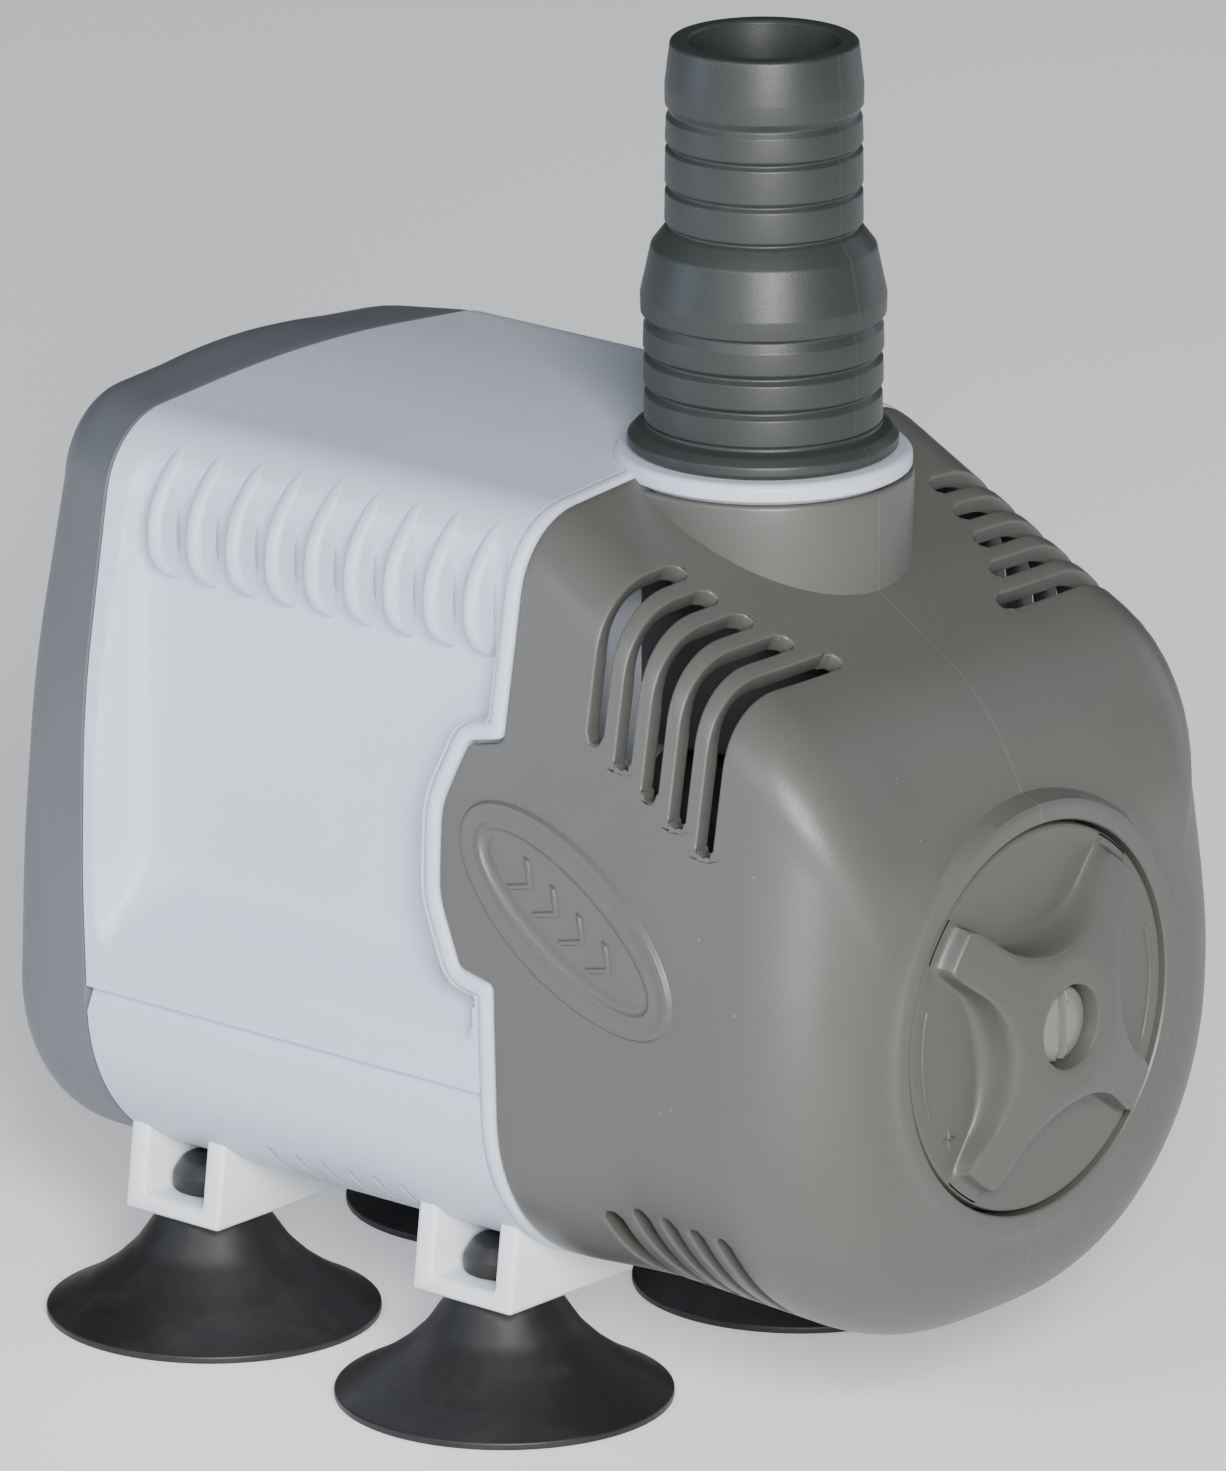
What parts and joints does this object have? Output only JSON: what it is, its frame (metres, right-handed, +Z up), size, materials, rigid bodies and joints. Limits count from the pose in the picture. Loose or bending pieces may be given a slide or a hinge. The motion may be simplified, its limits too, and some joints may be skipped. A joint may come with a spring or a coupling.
{
  "type": "submersible circulation pump",
  "caption": "Submersible aquarium and pond pump with a slotted strainer cover, a flow dial, a stepped hose tail and suction-cup feet.",
  "frame": {"origin": "on the floor under the middle of the bounding box, level with the suction cups' rims", "axes": "+Z up along the hose tail, -Y to the front cover and dial, +Y to the cable gland, X across"},
  "size_m": [0.0838, 0.1248, 0.1444],
  "materials": {
    "housing_grey": "satin pale cool grey",
    "cap_grey": "satin mid grey",
    "cover_grey": "fine grained warm dark grey",
    "dial_grey": "fine grained warm dark grey",
    "screw_plastic": "satin dark grey",
    "hose_tail_green": "satin dark green grey",
    "cup_rubber": "matt black",
    "gland_black": "satin black",
    "rubber": "matt black",
    "inner_plastic": "satin black",
    "lamination_steel": "stacked sheet",
    "copper_wire": "enamelled copper",
    "potting_resin": "cast resin",
    "ferrite": "dark grey sintered",
    "ceramic": "polished white"
  },
  "bodies": {
    "pump": {"motor_housing": "housing_grey", "rear_cap": "cap_grey", "stator_core": "lamination_steel", "coil_bobbins": "inner_plastic", "coil_windings": "copper_wire", "potting_resin": "potting_resin", "terminal_block": "inner_plastic", "volute_cover": "inner_plastic", "chamber_o_ring": "rubber", "rotor_shaft": "ceramic", "rear_bush": "rubber", "front_bush": "rubber", "front_thrust_washer": "inner_plastic", "rear_thrust_washer": "inner_plastic", "hose_tail": "hose_tail_green", "outlet_o_ring": "rubber", "cable_gland": "gland_black", "gland_seal": "rubber", "suction_cup_front_left": "cup_rubber", "suction_cup_front_right": "cup_rubber", "suction_cup_rear_left": "cup_rubber", "suction_cup_rear_right": "cup_rubber"},
    "cover": {"front_cover": "cover_grey"},
    "dial": {"flow_dial": "dial_grey", "dial_screw": "screw_plastic", "flow_shutter": "inner_plastic", "dial_o_ring": "rubber"},
    "rotor": {"rotor_magnet": "ferrite", "rotor_sleeve": "inner_plastic"},
    "wheel": {"impeller": "inner_plastic"}
  },
  "joints": [
    {"name": "cover_pull", "type": "slide", "parent": "pump", "child": "cover", "axis": [0, -1, 0], "range_m": [0, 0.06]},
    {"name": "dial_turn", "type": "hinge", "parent": "cover", "child": "dial", "pos_m": [0, -0.0574, 0.0466], "axis": [0, -1, 0], "range_deg": [0, 90]},
    {"name": "rotor_spin", "type": "hinge", "parent": "pump", "child": "rotor", "pos_m": [0, 0, 0.0466], "axis": [0, 1, 0], "continuous": true},
    {"name": "impeller_swing", "type": "hinge", "parent": "rotor", "child": "wheel", "pos_m": [0, -0.02, 0.0466], "axis": [0, 1, 0], "range_deg": [-130, 130]}
  ]
}
